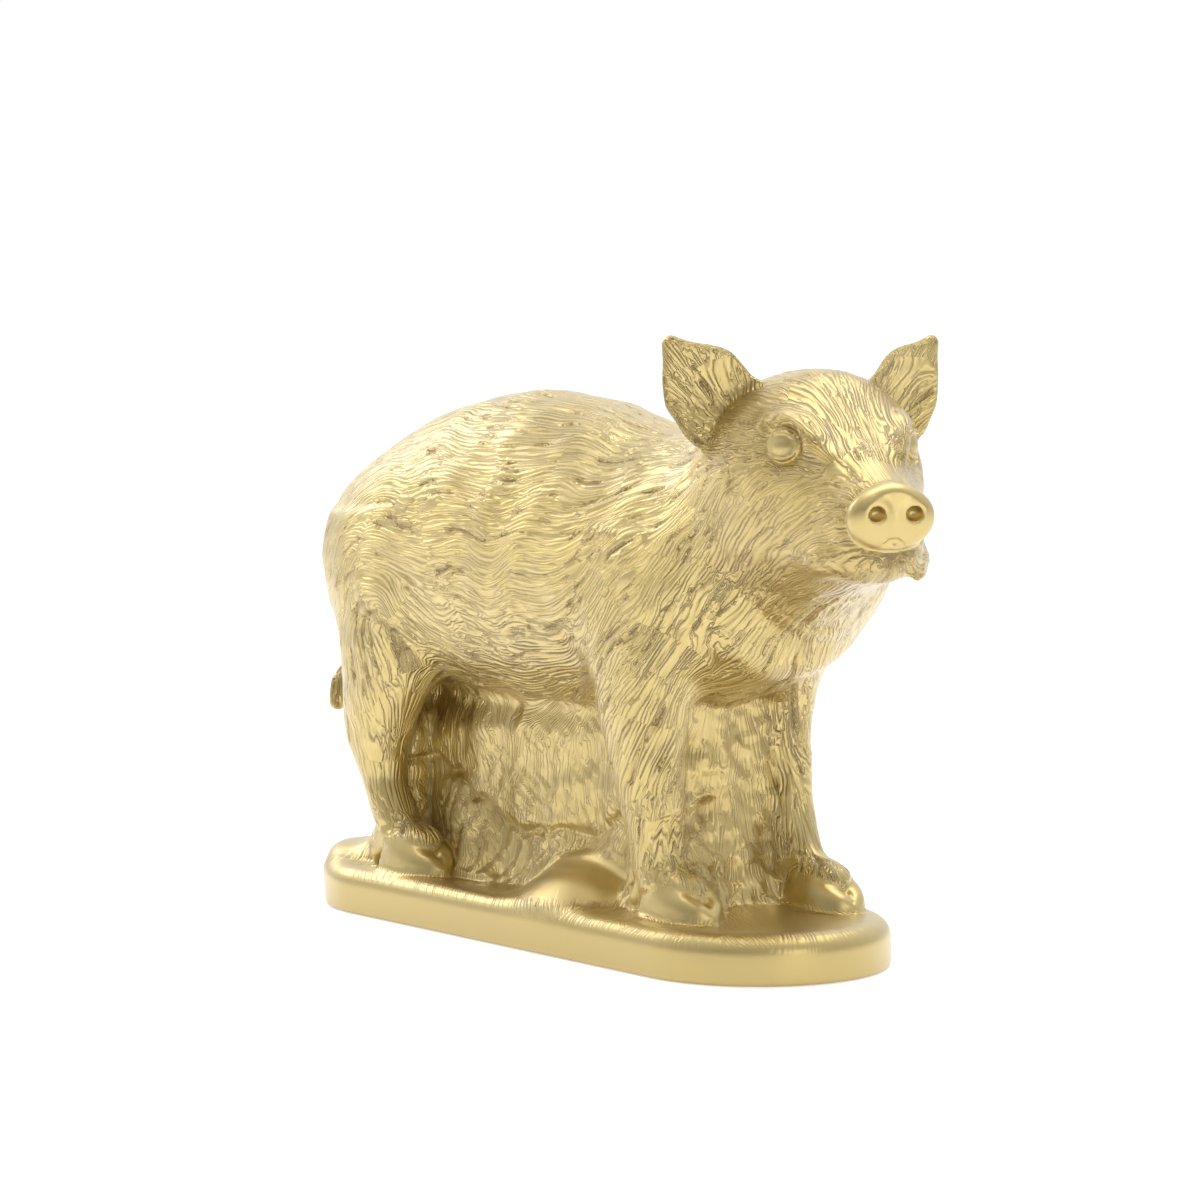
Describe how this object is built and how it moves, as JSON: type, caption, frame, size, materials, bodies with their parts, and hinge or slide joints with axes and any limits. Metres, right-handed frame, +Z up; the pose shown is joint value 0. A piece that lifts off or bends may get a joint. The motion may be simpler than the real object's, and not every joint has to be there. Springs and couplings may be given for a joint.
{
  "type": "piglet sculpture",
  "caption": "Cast piglet sculpture with carved fur, standing on its own oval plinth with its head turned to the right, for display.",
  "frame": {"origin": "middle of the plinth's flat underside, on the ground", "axes": "+X the way the piglet faces, +Y its left, +Z up"},
  "size_m": [0.4872, 0.1487, 0.3192],
  "materials": {
    "gold_lacquer": "satin metallic gold lacquer sprayed over a hollow cast plastic body"
  },
  "bodies": {
    "root": {"piglet_sculpture": "gold_lacquer"}
  },
  "joints": []
}
